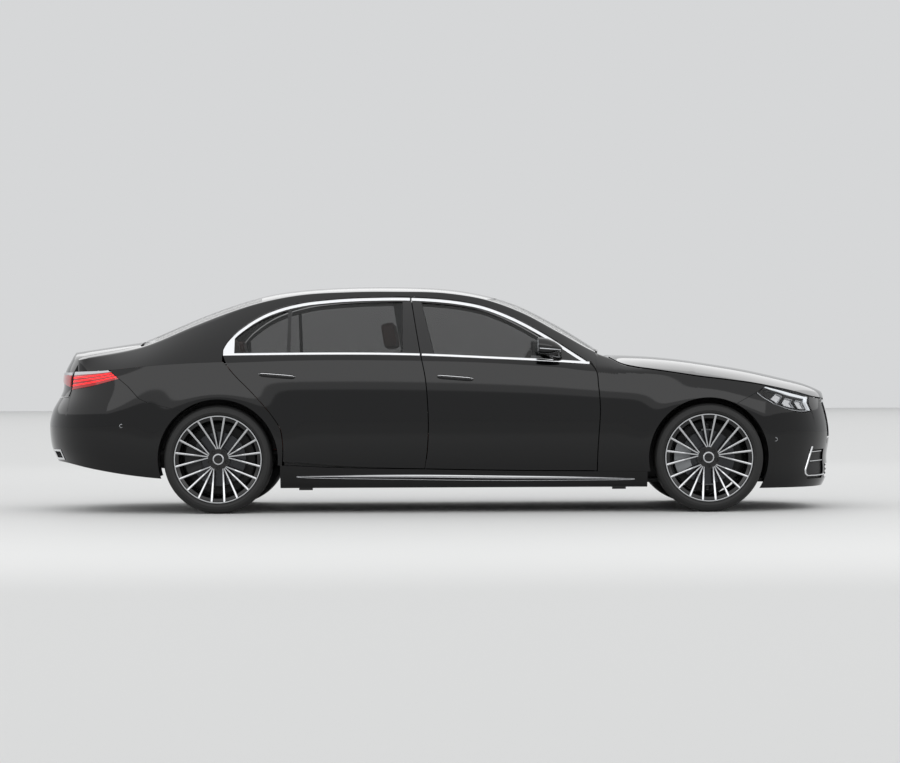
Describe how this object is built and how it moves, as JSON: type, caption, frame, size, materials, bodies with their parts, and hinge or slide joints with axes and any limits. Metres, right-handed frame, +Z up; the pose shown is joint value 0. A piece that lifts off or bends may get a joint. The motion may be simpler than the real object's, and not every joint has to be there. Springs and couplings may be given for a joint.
{
  "type": "luxury sedan",
  "caption": "Long four-door luxury saloon car with steered front wheels, spinning wheels, opening doors, bonnet and boot lid, and a furnished cabin.",
  "frame": {"origin": "on the road plane, midway along the car and on its centre plane", "axes": "+X towards the nose, +Y towards the car's left side, +Z up"},
  "size_m": [5.2997, 2.0602, 1.5031],
  "materials": {
    "paint": "gloss",
    "steel": "satin",
    "plastic": "satin",
    "glass": "gloss",
    "lamp_red": "gloss",
    "lamp_clear": "gloss",
    "leather": "satin",
    "chrome": "polished",
    "alloy": "machined",
    "tyre": "matte"
  },
  "bodies": {
    "shell": {"floor_pan": "steel", "bulkheads": "steel", "sills": "paint", "sill_strips": "chrome", "pillars": "steel", "roof_rails": "paint", "quarter_panels": "paint", "front_fenders": "paint", "roof_panel": "paint", "windscreen": "glass", "rear_window": "glass", "front_bumper": "paint", "grilles": "chrome", "headlamps": "lamp_clear", "rear_bumper": "paint", "tail_lamps": "lamp_red", "exhaust_tips": "chrome", "wheel_liners": "plastic", "engine": "steel", "front_axle": "steel", "rear_axle": "steel", "dashboard": "plastic", "front_seats": "leather", "rear_seats": "leather"},
    "bonnet": {"bonnet": "paint"},
    "boot_lid": {"boot_lid": "paint", "boot_lid_lamps": "lamp_red"},
    "steering_wheel": {"steering_wheel": "plastic"},
    "front_door_left": {"front_door_left": "paint", "front_door_glass_left": "glass", "mirror_left": "paint"},
    "rear_door_left": {"rear_door_left": "paint", "rear_door_glass_left": "glass"},
    "knuckle_left": {"knuckle_left": "steel"},
    "front_wheel_left": {"front_wheel_left": "alloy", "front_tyre_left": "tyre"},
    "rear_wheel_left": {"rear_wheel_left": "alloy", "rear_tyre_left": "tyre"},
    "front_door_right": {"front_door_right": "paint", "front_door_glass_right": "glass", "mirror_right": "paint"},
    "rear_door_right": {"rear_door_right": "paint", "rear_door_glass_right": "glass"},
    "knuckle_right": {"knuckle_right": "steel"},
    "front_wheel_right": {"front_wheel_right": "alloy", "front_tyre_right": "tyre"},
    "rear_wheel_right": {"rear_wheel_right": "alloy", "rear_tyre_right": "tyre"}
  },
  "joints": [
    {"name": "bonnet_hinge", "type": "hinge", "parent": "shell", "child": "bonnet", "pos_m": [1.168, 0, 0.968], "axis": [0, -1, 0], "range_deg": [0, 55]},
    {"name": "boot_lid_hinge", "type": "hinge", "parent": "shell", "child": "boot_lid", "pos_m": [-1.984, 0, 1.102], "axis": [0, 1, 0], "range_deg": [0, 75]},
    {"name": "front_door_left_hinge", "type": "hinge", "parent": "shell", "child": "front_door_left", "pos_m": [0.985, 0.931, 0.6], "axis": [0, 0, -1], "range_deg": [0, 68]},
    {"name": "rear_door_left_hinge", "type": "hinge", "parent": "shell", "child": "rear_door_left", "pos_m": [-0.14, 0.931, 0.6], "axis": [0, 0, -1], "range_deg": [0, 68]},
    {"name": "steer_left", "type": "hinge", "parent": "shell", "child": "knuckle_left", "pos_m": [1.765, 0.78, 0.356], "axis": [0, 0, 1], "range_deg": [-36, 36]},
    {"name": "front_wheel_left_spin", "type": "hinge", "parent": "knuckle_left", "child": "front_wheel_left", "pos_m": [1.765, 0.828, 0.356], "axis": [0, 1, 0], "continuous": true},
    {"name": "rear_wheel_left_spin", "type": "hinge", "parent": "shell", "child": "rear_wheel_left", "pos_m": [-1.451, 0.828, 0.356], "axis": [0, 1, 0], "continuous": true},
    {"name": "front_door_right_hinge", "type": "hinge", "parent": "shell", "child": "front_door_right", "pos_m": [0.985, -0.931, 0.6], "axis": [0, 0, 1], "range_deg": [0, 68]},
    {"name": "rear_door_right_hinge", "type": "hinge", "parent": "shell", "child": "rear_door_right", "pos_m": [-0.14, -0.931, 0.6], "axis": [0, 0, 1], "range_deg": [0, 68]},
    {"name": "steer_right", "type": "hinge", "parent": "shell", "child": "knuckle_right", "pos_m": [1.765, -0.78, 0.356], "axis": [0, 0, 1], "range_deg": [-36, 36]},
    {"name": "front_wheel_right_spin", "type": "hinge", "parent": "knuckle_right", "child": "front_wheel_right", "pos_m": [1.765, -0.828, 0.356], "axis": [0, 1, 0], "continuous": true},
    {"name": "rear_wheel_right_spin", "type": "hinge", "parent": "shell", "child": "rear_wheel_right", "pos_m": [-1.451, -0.828, 0.356], "axis": [0, 1, 0], "continuous": true},
    {"name": "steering_wheel_turn", "type": "hinge", "parent": "shell", "child": "steering_wheel", "pos_m": [0.56, 0.38, 0.905], "axis": [-0.9135, 0, 0.4067], "range_deg": [-450, 450]}
  ],
  "couplings": [
    {"joint": "steer_right", "follows": "steer_left", "ratio": 1},
    {"joint": "steering_wheel_turn", "follows": "steer_left", "ratio": 12.5}
  ]
}
